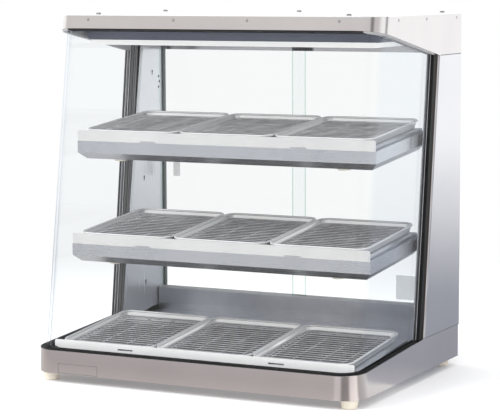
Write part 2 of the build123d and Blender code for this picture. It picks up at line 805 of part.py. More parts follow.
def make_side_panel():
    """Right post cover: outer sheet with front and rear returns."""
    outer = (
        (POST_FOOT_Y, POST_FOOT_Z),
        (REAR_Y, POST_FOOT_Z),
        (REAR_Y, POST_TOP_Z),
        (POST_TOP_Y, POST_TOP_Z),
    )
    hollow = (
        (post_edge_y(POST_FOOT_Z - 10) + SHEET, POST_FOOT_Z - 10),
        (REAR_Y - SHEET, POST_FOOT_Z - 10),
        (REAR_Y - SHEET, POST_TOP_Z + 10),
        (post_edge_y(POST_TOP_Z + 10) + SHEET, POST_TOP_Z + 10),
    )
    with BuildPart() as panel:
        add(side_slab(outer, PANEL_INNER_X, HALF_WIDTH))
        add(side_slab(hollow, PANEL_INNER_X, HALF_WIDTH - SHEET), mode=Mode.SUBTRACT)
        add(block(PANEL_INNER_X, SEAL_INNER_X + 0.2, 0, 200, 0, 600), mode=Mode.SUBTRACT)
    return panel.part


KEYHOLES = ((178, 531), (143, 330), (146, 128))
SCREW_HOLES = ((203, 520), (206, 510), (203, 500))


def make_inner_plate():
    """Right inner plate with hanging keyholes and a bent front flange."""
    front_top = PLATE_FOOT_Y + PLATE_LEAN * (PLATE_TOP_Z - PLATE_FOOT_Z)
    outline = (
        (PLATE_FOOT_Y, PLATE_FOOT_Z),
        (180, PLATE_LOW_Z),
        (REAR_Y - SHEET, PLATE_LOW_Z),
        (REAR_Y - SHEET, PLATE_TOP_Z),
        (front_top, PLATE_TOP_Z),
    )
    with BuildPart() as plate:
        add(side_slab(outline, PLATE_X, PANEL_INNER_X))
        with BuildSketch(Plane.YZ.offset(PLATE_X)):
            with Locations(*KEYHOLES):
                Circle(2.6)
            with Locations(*[(y, z - 3.5) for y, z in KEYHOLES]):
                SlotOverall(8, 2.6, rotation=90)
            with Locations(*SCREW_HOLES):
                Circle(2.5)
        extrude(amount=SHEET, mode=Mode.SUBTRACT)
        with BuildSketch(Plane.XY.offset(PLATE_FOOT_Z)):
            with BuildLine():
                Polyline(
                    (PLATE_X, PLATE_FOOT_Y),
                    (PANEL_INNER_X, PLATE_FOOT_Y),
                    (SEAL_INNER_X, PLATE_FOOT_Y - 7),
                    (SEAL_INNER_X - 1.2, PLATE_FOOT_Y - 7),
                    close=True,
                )
            make_face()
        height = PLATE_TOP_Z - PLATE_FOOT_Z
        extrude(amount=height * hypot(1, PLATE_LEAN), dir=(0, PLATE_LEAN, 1))
    return plate.part


# Rear opening ------------------------------------------------------------------------------


def make_rear_sill():
    """Upright sill behind the deck with a lip to the door track."""
    with BuildPart() as sill:
        add(block(-293, 293, SILL_Y, SILL_Y + THIN_SHEET, DECK_REAR_Z - THIN_SHEET, SILL_TOP_Z))
        add(block(-293, 293, SILL_Y, TRACK_FRONT_Y, SILL_TOP_Z - THIN_SHEET, SILL_TOP_Z))
        add(block(-293, 293, TRACK_FRONT_Y - THIN_SHEET, TRACK_FRONT_Y, TRACK_FOOT_Z, SILL_TOP_Z))
        add(block(-293, 293, SILL_Y - 2, SILL_Y, 79.5, 81))
    return sill.part


def track_outline(base_z, direction):
    """Two-groove track section; direction 1 opens upwards, -1 downwards."""
    rib_z = base_z + direction * TRACK_HEIGHT
    floor_z = base_z + direction * TRACK_BASE
    middle = TRACK_FRONT_Y + TRACK_DEPTH / 2
    rear = TRACK_FRONT_Y + TRACK_DEPTH
    return (
        (TRACK_FRONT_Y, base_z),
        (rear, base_z),
        (rear, rib_z),
        (rear - TRACK_RIB, rib_z),
        (rear - TRACK_RIB, floor_z),
        (middle + TRACK_RIB / 2, floor_z),
        (middle + TRACK_RIB / 2, rib_z),
        (middle - TRACK_RIB / 2, rib_z),
        (middle - TRACK_RIB / 2, floor_z),
        (TRACK_FRONT_Y + TRACK_RIB, floor_z),
        (TRACK_FRONT_Y + TRACK_RIB, rib_z),
        (TRACK_FRONT_Y, rib_z),
    )


def make_door_tracks():
    """Lower and upper lengths of the same two-groove track."""
    with BuildPart() as tracks:
        add(side_slab(track_outline(TRACK_FOOT_Z, 1), -PLATE_X, PLATE_X))
        add(side_slab(track_outline(TRACK_HEAD_Z, -1), -PLATE_X, PLATE_X))
    return tracks.part


def make_door_jambs():
    """Grey jamb strips on the inner plates, between the two tracks."""
    low_z = TRACK_FOOT_Z + TRACK_HEIGHT
    high_z = TRACK_HEAD_Z - TRACK_HEIGHT
    with BuildPart() as jambs:
        add(block(DOOR_OUTER_X + 0.5, PLATE_X, 218.5, 226, low_z, min(high_z, PLATE_TOP_Z)))
        mirror(about=Plane.YZ)
    return jambs.part


DOOR_PULL_X = 265.0
DOOR_PULL_Z = 341.0
GROOVE = (TRACK_DEPTH - 3 * TRACK_RIB) / 2
FRONT_DOOR_Y = TRACK_FRONT_Y + TRACK_RIB + (GROOVE - DOOR_THICKNESS) / 2
REAR_DOOR_Y = TRACK_FRONT_Y + 2 * TRACK_RIB + GROOVE + (GROOVE - DOOR_THICKNESS) / 2


def make_door(x_low, x_high, y_low):
    """Frameless sliding pane with ground edges."""
    with BuildPart() as door:
        add(block(x_low, x_high, y_low, y_low + DOOR_THICKNESS, DOOR_FOOT_Z, DOOR_HEAD_Z))
        chamfer(door.edges().filter_by(Axis.Z), 0.5)
    return door.part


def make_door_pull(x, y):
    """Low ribbed finger pull bonded to a pane's rear face."""
    with BuildPart() as pull:
        with Locations((x, y + 0.75, DOOR_PULL_Z)):
            Box(14, 1.5, 30)
        with Locations((x - 4.5, y + 1.5, DOOR_PULL_Z), (x, y + 1.5, DOOR_PULL_Z), (x + 4.5, y + 1.5, DOOR_PULL_Z)):
            Box(2, 2.4, 28)
    return pull.part


# Canopy ------------------------------------------------------------------------------------

RIVET_Z = 636.5
FRONT_RIVET_X = (-242, -71, 71, 242)
SIDE_RIVET_Y = (-64, 64, 211)


def make_canopy_shell():
    """Canopy band with its sloping rim and the rear wall."""
    below_rim = (
        (-220, 500),
        (-220, CANOPY_FRONT_Z + (CANOPY_FRONT_Y + 220) * CANOPY_DROP),
        (POST_TOP_Y, POST_TOP_Z),
        (300, POST_TOP_Z),
        (300, 500),
    )
    with BuildPart() as canopy:
        add(canopy_prism(0))
        add(canopy_prism(SHEET), mode=Mode.SUBTRACT)
        split(bisect_by=Plane.XZ.offset(-REAR_Y), keep=Keep.TOP)
        add(block(-HALF_WIDTH + SHEET, HALF_WIDTH - SHEET, REAR_Y - SHEET, REAR_Y, POST_TOP_Z, LID_Z))
        add(side_slab(below_rim, -400, 400), mode=Mode.SUBTRACT)
    return canopy.part


def make_canopy_lid(screw_holes):
    """Flat top sheet screwed down over the band."""
    front = CANOPY_TOP_Y - CANOPY_LEAN * (TOP_Z - LID_Z)
    with BuildPart() as lid:
        with BuildSketch(Plane.XY.offset(LID_Z)):
            add(plan_outline(HALF_WIDTH, front, REAR_Y, CANOPY_CORNER))
        extrude(amount=SHEET)
        add(screw_holes, mode=Mode.SUBTRACT)
    return lid.part


def make_band_rivets():
    """Small flat-domed rivets along the top of the canopy band."""
    front_y = CANOPY_TOP_Y - CANOPY_LEAN * (TOP_Z - RIVET_Z)
    planes = [
        Plane(origin=(x, front_y, RIVET_Z), x_dir=(1, 0, 0), z_dir=(0, -1, CANOPY_LEAN))
        for x in FRONT_RIVET_X
    ]
    planes += [
        Plane(origin=(side * HALF_WIDTH, y, RIVET_Z), x_dir=(0, 1, 0), z_dir=(side, 0, 0))
        for side in (-1, 1)
        for y in SIDE_RIVET_Y
    ]
    with BuildPart() as rivets:
        for plane in planes:
            with Locations(plane):
                Cone(2.6, 1.6, 0.5, align=(Align.CENTER, Align.CENTER, Align.MIN))
    return rivets.part


def ceiling_outline(inset, top_z):
    """Front outline of the ceiling box, bevelled along its lower side edges."""
    wide = CEILING_HALF_WIDTH - inset
    narrow = wide - CEILING_CHAMFER + inset / 2
    low_z = CEILING_Z + inset
    return (
        (-wide, top_z),
        (-wide, low_z + CEILING_CHAMFER - inset / 2),
        (-narrow, low_z),
        (narrow, low_z),
        (wide, low_z + CEILING_CHAMFER - inset / 2),
        (wide, top_z),
    )


def make_ceiling_box():
    """Lamp box hung under the lid, in front of the doors."""
    with BuildPart() as box:
        add(front_slab(ceiling_outline(0, LID_Z), CEILING_FRONT_Y, CEILING_REAR_Y))
        add(
            front_slab(
                ceiling_outline(THIN_SHEET, LID_Z + 5),
                CEILING_FRONT_Y + THIN_SHEET,
                CEILING_REAR_Y - THIN_SHEET,
            ),
            mode=Mode.SUBTRACT,
        )
        add(block(-PLATE_X, PLATE_X, CEILING_REAR_Y, TRACK_FRONT_Y + TRACK_DEPTH, TRACK_HEAD_Z, TRACK_HEAD_Z + SHEET))
        add(block(-255, 255, -50, 40, CEILING_Z - 1, CEILING_Z + 2), mode=Mode.SUBTRACT)
    return box.part


def make_lamp_diffuser():
    """White diffuser tray under the lamp opening."""
    wide = CEILING_HALF_WIDTH - CEILING_CHAMFER
    narrow = wide - DIFFUSER_DEPTH
    low_z = CEILING_Z - DIFFUSER_DEPTH
    outer = ((-wide, CEILING_Z), (-narrow, low_z), (narrow, low_z), (wide, CEILING_Z))
    inner = (
        (-wide + 3, CEILING_Z + 1),
        (-narrow + 1, low_z + 2),
        (narrow - 1, low_z + 2),
        (wide - 3, CEILING_Z + 1),
    )
    with BuildPart() as diffuser:
        add(front_slab(outer, CEILING_FRONT_Y, DIFFUSER_REAR_Y))
        add(front_slab(inner, CEILING_FRONT_Y + 2, DIFFUSER_REAR_Y - 2), mode=Mode.SUBTRACT)
    return diffuser.part


def make_lamp_bar():
    """LED bar with two end blocks, across the ceiling box above its opening."""
    with BuildPart() as lamp:
        add(block(-250, 250, -18, 8, 622, 630))
        add(block(-240, 240, -11, 1, 618, 622))
        for side in (-1, 1):
            low, high = sorted((side * 250, side * 265))
            add(block(low, high, -20, 10, CEILING_Z + THIN_SHEET, 632))
    return lamp.part


# Trays and racks ---------------------------------------------------------------------------

TRAY_CORNER = 20.0
TRAY_TAPER = 5.0
TRAY_SHEET = 0.8
TRAY_FOLD = 3.0
BEAD_RADIUS = 2.0


def closed_loop(width, length, middle_y, corner, z):
    """Closed path: rounded rectangle in a tier's local frame."""
    with BuildSketch(Plane.XY.offset(z)) as loop:
        with Locations((0, middle_y)):
            RectangleRounded(width, length, corner)
    return loop.sketch.wires()[0]


def tray_solid(inset, foot_z):
    """Tapered body of a tray, moved in by inset, with a rounded bottom edge."""
    centre = (0, TRAY_LENGTH / 2)
    width = TRAY_WIDTH - 2 * BEAD_RADIUS - 2 * inset
    length = TRAY_LENGTH - 2 * BEAD_RADIUS - 2 * inset
    corner = TRAY_CORNER - inset
    with BuildPart() as body:
        with BuildSketch(Plane.XY.offset(foot_z)):
            with Locations(centre):
                RectangleRounded(width - 2 * TRAY_TAPER, length - 2 * TRAY_TAPER, corner - TRAY_TAPER)
        with BuildSketch(Plane.XY.offset(-BEAD_RADIUS)):
            with Locations(centre):
                RectangleRounded(width, length, corner)
        loft()
        fillet(body.faces().sort_by(Axis.Z)[0].edges(), TRAY_FOLD - inset)
    return body.part


def make_tray_blank():
    """Drawn tray with tapered walls and a rolled bead, in its tier's local frame."""
    width = TRAY_WIDTH - 2 * BEAD_RADIUS
    length = TRAY_LENGTH - 2 * BEAD_RADIUS
    bead = closed_loop(width, length, TRAY_LENGTH / 2, TRAY_CORNER, -BEAD_RADIUS)
    with BuildPart() as tray:
        add(tray_solid(0, -TRAY_DEPTH))
        add(tray_solid(TRAY_SHEET, -TRAY_DEPTH + TRAY_SHEET), mode=Mode.SUBTRACT)
        with BuildSketch(Plane(origin=bead @ 0, z_dir=bead % 0)):
            Circle(BEAD_RADIUS)
        sweep(path=bead)
    return tray.part


RACK_HALF_WIDTH = 81.0
RACK_FRONT = 14.0
RACK_REAR = 218.0
RACK_CORNER = 12.0
RACK_TOP = -6.0
CROSS_WIRE_RADIUS = 0.9
LONG_WIRE_RADIUS = 1.1
FOOT_WIRE_RADIUS = 0.8
FRAME_RADIUS = 1.3
CROSS_WIRES = 15
LONG_WIRE_X = (-66, -25, 25, 66)
FOOT_HALF_SPAN = 8.0


def make_rack_blank():
    """Welded wire rack on V feet, in its tier's local frame."""
    cross_z = RACK_TOP - CROSS_WIRE_RADIUS
    frame_z = cross_z - 1.0
    foot_z = -TRAY_DEPTH + TRAY_SHEET + 1.35 * FOOT_WIRE_RADIUS + 0.05
    length = RACK_REAR - RACK_FRONT
    middle_y = (RACK_FRONT + RACK_REAR) / 2
    pitch = length / (CROSS_WIRES + 1)
    path = closed_loop(2 * RACK_HALF_WIDTH, length, middle_y, RACK_CORNER, frame_z)
    cross_planes = [
        Plane(origin=(0, RACK_FRONT + (index + 1) * pitch, cross_z), z_dir=(1, 0, 0))
        for index in range(CROSS_WIRES)
    ]
    long_planes = [Plane(origin=(x, middle_y, frame_z), z_dir=(0, 1, 0)) for x in LONG_WIRE_X]
    with BuildPart() as rack:
        with BuildSketch(Plane(origin=path @ 0, z_dir=path % 0)):
            Circle(FRAME_RADIUS)
        sweep(path=path)
        with Locations(*long_planes):
            Cylinder(LONG_WIRE_RADIUS, length)
        with Locations(*cross_planes):
            Cylinder(CROSS_WIRE_RADIUS, 2 * RACK_HALF_WIDTH)
        for y in (RACK_FRONT + pitch, RACK_REAR - pitch):
            for x in (LONG_WIRE_X[0], LONG_WIRE_X[-1]):
                with BuildLine(mode=Mode.PRIVATE) as foot:
                    Polyline(
                        (x - FOOT_HALF_SPAN, y, cross_z), (x, y, foot_z), (x + FOOT_HALF_SPAN, y, cross_z)
                    )
                with BuildSketch(Plane(origin=foot.line @ 0, z_dir=foot.line % 0)):
                    Circle(FOOT_WIRE_RADIUS)
                sweep(path=foot.line, transition=Transition.RIGHT)
    return rack.part


def in_tier(blank, tier, column):
    """Copy of a tray or rack, moved to its place in a tier."""
    place = tier_plane(tier, (column - 1) * TRAY_PITCH)
    return place.location * blank


# Assembly ----------------------------------------------------------------------------------


def make_all():
    """Every piece of the case under its own name."""
    glass = make_front_glass()
    right_panel = make_side_panel()
    right_plate = make_inner_plate()
    lid_holes = cut_screw_holes(LID_SCREW_PLANES)
    shelf_holes = cut_screw_holes(SHELF_SCREW_PLANES)
    pieces = {
        "base_shell": make_base_shell(),
        "base_floor": make_base_floor(),
        "rubber_feet": make_rubber_feet(),
        "base_rear_panel": make_rear_panel(),
        "heated_deck": make_heated_deck(),
        "heating_elements": make_heating_elements(),
        "bottom_tray_stop": make_bottom_stop(),
        "lower_glass_gasket": make_lower_gasket(glass),
        "upper_glass_gasket": make_upper_gasket(glass),
        "front_glass": glass,
        "glass_edge_seals": make_edge_seals(glass),
        "right_side_panel": right_panel,
        "left_side_panel": mirror(right_panel, about=Plane.YZ),
        "right_inner_plate": right_plate,
        "left_inner_plate": mirror(right_plate, about=Plane.YZ),
        "door_jambs": make_door_jambs(),
        "rear_sill": make_rear_sill(),
        "door_tracks": make_door_tracks(),
        "canopy_shell": make_canopy_shell(),
        "canopy_lid": make_canopy_lid(lid_holes),
        "dome_screws": make_dome_screws(),
        "band_rivets": make_band_rivets(),
        "ceiling_box": make_ceiling_box(),
        "lamp_diffuser": make_lamp_diffuser(),
        "lamp_bar": make_lamp_bar(),
        "middle_shelf_pan": make_shelf_pan(1, MIDDLE_SEAM_Z) - shelf_holes,
        "middle_shelf_plate": make_shelf_plate(1, MIDDLE_SEAM_Z),
        "middle_tray_stop": make_stop(1, MIDDLE_SEAM_Z),
        "top_shelf_pan": make_shelf_pan(2, TOP_SEAM_Z) - shelf_holes,
        "top_shelf_plate": make_shelf_plate(2, TOP_SEAM_Z),
        "top_tray_stop": make_stop(2, TOP_SEAM_Z),
        "shelf_brackets": make_shelf_brackets(),
        "shelf_bumpers": make_shelf_bumpers(),
        "thermostat_body": make_thermostat_body(),
        "thermostat_knob": make_knob(),
        "switch_bezel": make_switch_bezel(),
        "switch_rocker": make_rocker(),
        "cord_gland": make_cord_gland(),
        "right_door_glass": make_door(RIGHT_DOOR_INNER_X, DOOR_OUTER_X, FRONT_DOOR_Y),
        "left_door_glass": make_door(-DOOR_OUTER_X, LEFT_DOOR_INNER_X, REAR_DOOR_Y),
        "right_door_pull": make_door_pull(DOOR_PULL_X, FRONT_DOOR_Y + DOOR_THICKNESS),
        "left_door_pull": make_door_pull(-DOOR_PULL_X, REAR_DOOR_Y + DOOR_THICKNESS),
    }
    tray = make_tray_blank()
    rack = make_rack_blank()
    for tier, tier_name in enumerate(TIER_NAMES):
        for column, column_name in enumerate(COLUMN_NAMES):
            pieces[f"{tier_name}_{column_name}_tray"] = in_tier(tray, tier, column)
            pieces[f"{tier_name}_{column_name}_rack"] = in_tier(rack, tier, column)
    return pieces


os.makedirs("parts", exist_ok=True)
for name, piece in make_all().items():
    piece.label = name
    export_step(piece, f"parts/{name}.step")
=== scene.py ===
import math

import bmesh
import bpy
from mathutils import Matrix, Vector


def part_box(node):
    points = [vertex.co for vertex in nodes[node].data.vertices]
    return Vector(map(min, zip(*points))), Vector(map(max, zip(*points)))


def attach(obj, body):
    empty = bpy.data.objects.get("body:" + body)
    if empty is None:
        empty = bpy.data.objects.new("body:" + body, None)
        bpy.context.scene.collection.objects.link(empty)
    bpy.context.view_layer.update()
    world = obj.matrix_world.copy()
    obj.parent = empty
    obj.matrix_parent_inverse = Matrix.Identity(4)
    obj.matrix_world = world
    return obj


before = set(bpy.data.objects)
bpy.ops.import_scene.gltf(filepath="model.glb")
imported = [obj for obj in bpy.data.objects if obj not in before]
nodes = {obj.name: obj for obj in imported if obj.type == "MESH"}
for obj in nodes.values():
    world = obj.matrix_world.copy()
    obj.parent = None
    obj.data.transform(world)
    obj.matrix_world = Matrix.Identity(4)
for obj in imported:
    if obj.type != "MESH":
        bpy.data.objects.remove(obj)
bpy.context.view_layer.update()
scene = bpy.context.scene

MM = 0.001
TIER_SLOPE = math.tan(math.radians(5.0))


# ---------------------------------------------------------------- node helpers


def mix_colors(tree, factor, a, b, blend_type="MIX"):
    """Colour mix node; factor, a and b are constants or other nodes' outputs."""
    node = tree.nodes.new("ShaderNodeMix")
    node.data_type = "RGBA"
    node.blend_type = blend_type
    sockets = {socket.identifier: socket for socket in node.inputs}
    for identifier, value in (("Factor_Float", factor), ("A_Color", a), ("B_Color", b)):
        if isinstance(value, bpy.types.NodeSocket):
            tree.links.new(value, sockets[identifier])
        elif identifier == "Factor_Float":
            sockets[identifier].default_value = value
        else:
            sockets[identifier].default_value = (*value, 1)
    return next(output for output in node.outputs if output.identifier == "Result_Color")


def ramp(tree, value, stops):
    """Colour ramp fed by a value, from (place, colour) stops."""
    node = tree.nodes.new("ShaderNodeValToRGB")
    elements = node.color_ramp.elements
    elements[0].position, elements[0].color = stops[0][0], (*stops[0][1], 1)
    elements[1].position, elements[1].color = stops[-1][0], (*stops[-1][1], 1)
    for place, color in stops[1:-1]:
        elements.new(place).color = (*color, 1)
    tree.links.new(value, node.inputs["Fac"])
    return node.outputs["Color"]


class Tree:
    """Small wrapper for building a material's node tree."""

    def __init__(self, name):
        self.material = bpy.data.materials.new(name)
        self.material.use_nodes = True
        self.tree = self.material.node_tree
        self.tree.nodes.clear()
        self.output = self.add("ShaderNodeOutputMaterial")

    def add(self, kind, **settings):
        node = self.tree.nodes.new(kind)
        for key, value in settings.items():
            setattr(node, key, value)
        return node

    def link(self, source, target):
        self.tree.links.new(source, target)

    def position(self, scale, shift=(0, 0, 0)):
        """Object position in metres, stretched by scale and moved by shift."""
        coordinates = self.add("ShaderNodeTexCoord")
        mapping = self.add("ShaderNodeMapping")
        mapping.inputs["Scale"].default_value = scale
        mapping.inputs["Location"].default_value = shift
        self.link(coordinates.outputs["Object"], mapping.inputs["Vector"])
        return mapping.outputs["Vector"]

    def noise(self, vector, scale=1.0, detail=4.0, roughness=0.55):
        node = self.add("ShaderNodeTexNoise")
        node.inputs["Scale"].default_value = scale
        node.inputs["Detail"].default_value = detail
        node.inputs["Roughness"].default_value = roughness
        self.link(vector, node.inputs["Vector"])
        return node.outputs["Fac"]

    def spread(self, value, low, high, start=0.3, end=0.7):
        """Value from start..end mapped onto low..high."""
        node = self.add("ShaderNodeMapRange")
        node.inputs["From Min"].default_value = start
        node.inputs["From Max"].default_value = end
        node.inputs["To Min"].default_value = low
        node.inputs["To Max"].default_value = high
        self.link(value, node.inputs["Value"])
        return node.outputs["Result"]

    def blend_colors(self, factor, a, b):
        """Colour between a and b; each of the three is a constant or another node's output."""
        return mix_colors(self.tree, factor, a, b)

    def multiply_colors(self, a, b):
        return mix_colors(self.tree, 1.0, a, b, "MULTIPLY")

    def bump(self, height, strength, distance):
        node = self.add("ShaderNodeBump")
        node.inputs["Strength"].default_value = strength
        node.inputs["Distance"].default_value = distance
        self.link(height, node.inputs["Height"])
        return node.outputs["Normal"]

    def surface(self, **sockets):
        node = self.add("ShaderNodeBsdfPrincipled")
        for name, value in sockets.items():
            socket = node.inputs[name.replace("_", " ")]
            if isinstance(value, bpy.types.NodeSocket):
                self.link(value, socket)
            else:
                socket.default_value = value
        self.link(node.outputs["BSDF"], self.output.inputs["Surface"])
        return node


def steel(
    name, tone, shade, grain, roughness, streak=0.0002, cloud_scale=9.0, metallic=1.0, wavy=2.0
):
    """Stainless sheet: fine drawn grain, cloudy smudges and slight waviness. On the deck the clouds also
    paint a reflection streak, and on the tray floors they paint dark reflection.
    """
    t = Tree(name)
    lines = t.noise(t.position(grain), detail=3.0, roughness=0.6)
    clouds = t.noise(t.position((cloud_scale, cloud_scale, cloud_scale)), detail=5.0)
    waves = t.noise(t.position((3.5, 3.5, 3.5)), detail=1.0)
    color = t.blend_colors(t.spread(clouds, 0.0, 1.0), shade, tone)
    gloss = t.add("ShaderNodeMath", operation="ADD")
    t.link(t.spread(lines, roughness[0], roughness[1]), gloss.inputs[0])
    t.link(t.spread(clouds, 0.0, 0.05), gloss.inputs[1])
    height = t.add("ShaderNodeMath", operation="MULTIPLY_ADD")
    t.link(waves, height.inputs[0])
    height.inputs[1].default_value = wavy
    t.link(lines, height.inputs[2])
    t.surface(
        Base_Color=color,
        Metallic=metallic,
        Roughness=gloss.outputs[0],
        Normal=t.bump(height.outputs[0], 0.25, streak),
    )
    return t.material


def glass(name, tint, edge_tint, base=0.02, rise=0.6):
    """Thin clear pane: see-through, with a mirror sheen and a deeper tint at glancing angles."""
    t = Tree(name)
    glancing = t.add("ShaderNodeLayerWeight")
    glancing.inputs["Blend"].default_value = 0.5
    facing = glancing.outputs["Facing"]
    deep = t.add("ShaderNodeMath", operation="POWER")
    t.link(facing, deep.inputs[0])
    deep.inputs[1].default_value = 3.0
    clear = t.add("ShaderNodeBsdfTransparent")
    t.link(t.blend_colors(deep.outputs[0], tint, edge_tint), clear.inputs["Color"])
    film = t.noise(t.position((14, 14, 5)), detail=4.0)
    sheen = t.add("ShaderNodeBsdfGlossy")
    sheen.inputs["Color"].default_value = (0.97, 0.99, 1.0, 1)
    t.link(t.spread(film, 0.015, 0.05), sheen.inputs["Roughness"])
    steep = t.add("ShaderNodeMath", operation="POWER")
    t.link(facing, steep.inputs[0])
    steep.inputs[1].default_value = 5.0
    mirror = t.add("ShaderNodeMath", operation="MULTIPLY_ADD")
    t.link(steep.outputs[0], mirror.inputs[0])
    mirror.inputs[1].default_value = rise
    mirror.inputs[2].default_value = base
    mix = t.add("ShaderNodeMixShader")
    t.link(mirror.outputs[0], mix.inputs["Fac"])
    t.link(clear.outputs["BSDF"], mix.inputs[1])
    t.link(sheen.outputs["BSDF"], mix.inputs[2])
    t.link(mix.outputs["Shader"], t.output.inputs["Surface"])
    return t.material


def moulded(name, tone, shade, roughness, grain_size, bump, specular=0.5, coat=0.0):
    """Moulded rubber or plastic: fine texture, dusty variation and slight sheen."""
    t = Tree(name)
    grain = t.noise(t.position((grain_size,) * 3), detail=3.0, roughness=0.7)
    clouds = t.noise(t.position((25, 25, 25)), detail=3.0)
    t.surface(
        Base_Color=t.blend_colors(t.spread(clouds, 0.0, 1.0), shade, tone),
        Roughness=t.spread(grain, roughness[0], roughness[1]),
        Normal=t.bump(grain, bump, 0.00015),
        Specular_IOR_Level=specular,
        Coat_Weight=coat,
    )
    return t.material


# ---------------------------------------------------------------- materials

ALONG_X = (6, 900, 900)
ALONG_Z = (900, 900, 6)
AROUND = (8, 8, 1100)

band_steel = steel(
    "band_steel", (0.80, 0.775, 0.77), (0.73, 0.71, 0.71), AROUND, (0.08, 0.16), cloud_scale=5.0,
)
lid_steel = steel(
    "lid_steel", (0.95, 0.95, 0.95), (0.92, 0.92, 0.925), ALONG_X, (0.16, 0.26), metallic=0.5,
)
side_steel = steel("side_steel", (0.78, 0.78, 0.80), (0.74, 0.745, 0.765), ALONG_Z, (0.06, 0.13))
lining_steel = steel(
    "lining_steel", (0.80, 0.82, 0.85), (0.76, 0.78, 0.81), ALONG_Z, (0.14, 0.24), metallic=0.7,
)
shelf_steel = steel("shelf_steel", (0.74, 0.75, 0.77), (0.70, 0.71, 0.73), ALONG_X, (0.20, 0.32))
fascia_steel = steel(
    "fascia_steel", (0.66, 0.68, 0.71), (0.60, 0.62, 0.65), ALONG_X, (0.24, 0.30), 0.00003,
    metallic=0.75, wavy=0.5,
)
box_steel = steel(
    "box_steel", (0.17, 0.19, 0.24), (0.13, 0.145, 0.19), ALONG_X, (0.24, 0.36), metallic=0.6,
)
# Bottom tray stop: a near-white, almost non-metallic copy of the stop steel, painted light that lifts it
# out of the shade below the glass.
low_stop_painted_light = steel(
    "low_stop_painted_light", (0.97, 0.965, 0.96), (0.92, 0.915, 0.91), ALONG_X, (0.34, 0.46),
    metallic=0.05,
)
# Middle and top tray stops: a darker copy of the same stop steel, painted shade that tones down how
# brightly they are lit.
stop_painted_shade = steel(
    "stop_painted_shade", (0.66, 0.655, 0.65), (0.60, 0.595, 0.59), ALONG_X, (0.34, 0.46), metallic=0.2,
)
# Deck, sill and shelf plates: wide, high-contrast smudge clouds that also paint the deck's bright
# reflection streak.
deck_smudge_and_reflection = steel(
    "deck_smudge_and_reflection", (0.90, 0.92, 0.96), (0.42, 0.44, 0.50), ALONG_X, (0.28, 0.31), 0.00001, wavy=0.5,
    cloud_scale=3.5,
)
tray_steel = steel(
    "tray_steel", (0.97, 0.97, 0.97), (0.91, 0.91, 0.915), (50, 50, 50), (0.06, 0.12), 0.00004,
    metallic=0.55, wavy=2.0,
)
# Tray floors: a much darker copy of the tray steel with contrasty clouds, painted reflection of the dark
# shelf above.
tray_floor_painted_reflection = steel(
    "tray_floor_painted_reflection", (0.34, 0.34, 0.35), (0.06, 0.06, 0.063), (50, 50, 50), (0.10, 0.18),
    0.00004, metallic=0.8, wavy=2.0, cloud_scale=22.0,
)
wire_steel = steel(
    "wire_steel", (0.88, 0.88, 0.89), (0.58, 0.58, 0.59), (60, 60, 60), (0.06, 0.12), 0.00002,
    metallic=0.85, cloud_scale=45.0,
)
screw_steel = steel(
    "screw_steel", (0.56, 0.55, 0.54), (0.45, 0.44, 0.44), (900, 900, 900), (0.22, 0.36),
)
sheath_steel = steel(
    "sheath_steel", (0.25, 0.23, 0.22), (0.17, 0.16, 0.16), (90, 90, 90), (0.4, 0.6),
)
track_metal = steel(
    "track_metal", (0.88, 0.885, 0.89), (0.83, 0.835, 0.84), ALONG_X, (0.25, 0.36), metallic=0.35,
)
lamp_metal = steel(
    "lamp_metal", (0.90, 0.90, 0.89), (0.86, 0.86, 0.85), ALONG_X, (0.3, 0.45), metallic=0.4,
)

pane_glass = glass("pane_glass", (0.995, 0.998, 0.998), (0.80, 0.85, 0.90))
door_glass = glass("door_glass", (0.985, 0.992, 0.99), (0.90, 0.94, 0.93))
edge_glass = glass("edge_glass", (0.62, 0.76, 0.72), (0.50, 0.66, 0.62), 0.06, 0.4)

black_rubber = moulded(
    "black_rubber", (0.014, 0.0135, 0.014), (0.021, 0.020, 0.0195), (0.42, 0.60), 1800, 0.15, 0.28,
)
cream_rubber = moulded(
    "cream_rubber", (0.80, 0.745, 0.64), (0.73, 0.67, 0.565), (0.45, 0.65), 1300, 0.3,
)
pale_rubber = moulded("pale_rubber", (0.50, 0.50, 0.51), (0.42, 0.42, 0.43), (0.4, 0.6), 1500, 0.2)
# Near-black for the side panels' hidden inner faces behind the inner plates: painted shade.
hidden_face_painted_shade = moulded(
    "hidden_face_painted_shade", (0.03, 0.03, 0.032), (0.02, 0.02, 0.022), (0.5, 0.7), 1500, 0.2, 0.2,
)
grey_plastic = moulded(
    "grey_plastic", (0.13, 0.15, 0.14), (0.10, 0.115, 0.11), (0.35, 0.5), 1500, 0.2,
)
black_plastic = moulded(
    "black_plastic", (0.018, 0.018, 0.019), (0.026, 0.026, 0.027), (0.3, 0.45), 2200, 0.35,
)
housing_plastic = moulded(
    "housing_plastic", (0.50, 0.46, 0.38), (0.43, 0.39, 0.32), (0.4, 0.55), 1500, 0.2,
)
white_plastic = moulded(
    "white_plastic", (0.85, 0.85, 0.83), (0.78, 0.78, 0.76), (0.35, 0.5), 1500, 0.15,
)
red_plastic = moulded(
    "red_plastic", (0.50, 0.025, 0.018), (0.42, 0.018, 0.014), (0.15, 0.25), 1200, 0.1, 0.5, 0.3,
)


def make_diffuser():
    """Opal acrylic that glows faintly from the lamp behind it."""
    t = Tree("opal_acrylic")
    grain = t.noise(t.position((700, 700, 700)), detail=2.0)
    along = t.noise(t.position((4, 14, 4)), detail=2.0)
    color = t.blend_colors(t.spread(along, 0.0, 1.0), (0.90, 0.90, 0.885), (0.95, 0.95, 0.94))
    t.surface(
        Base_Color=color,
        Roughness=t.spread(grain, 0.28, 0.42),
        Normal=t.bump(grain, 0.1, 0.0001),
        Emission_Color=(1.0, 0.985, 0.95, 1.0),
        Emission_Strength=0.18,
    )
    return t.material


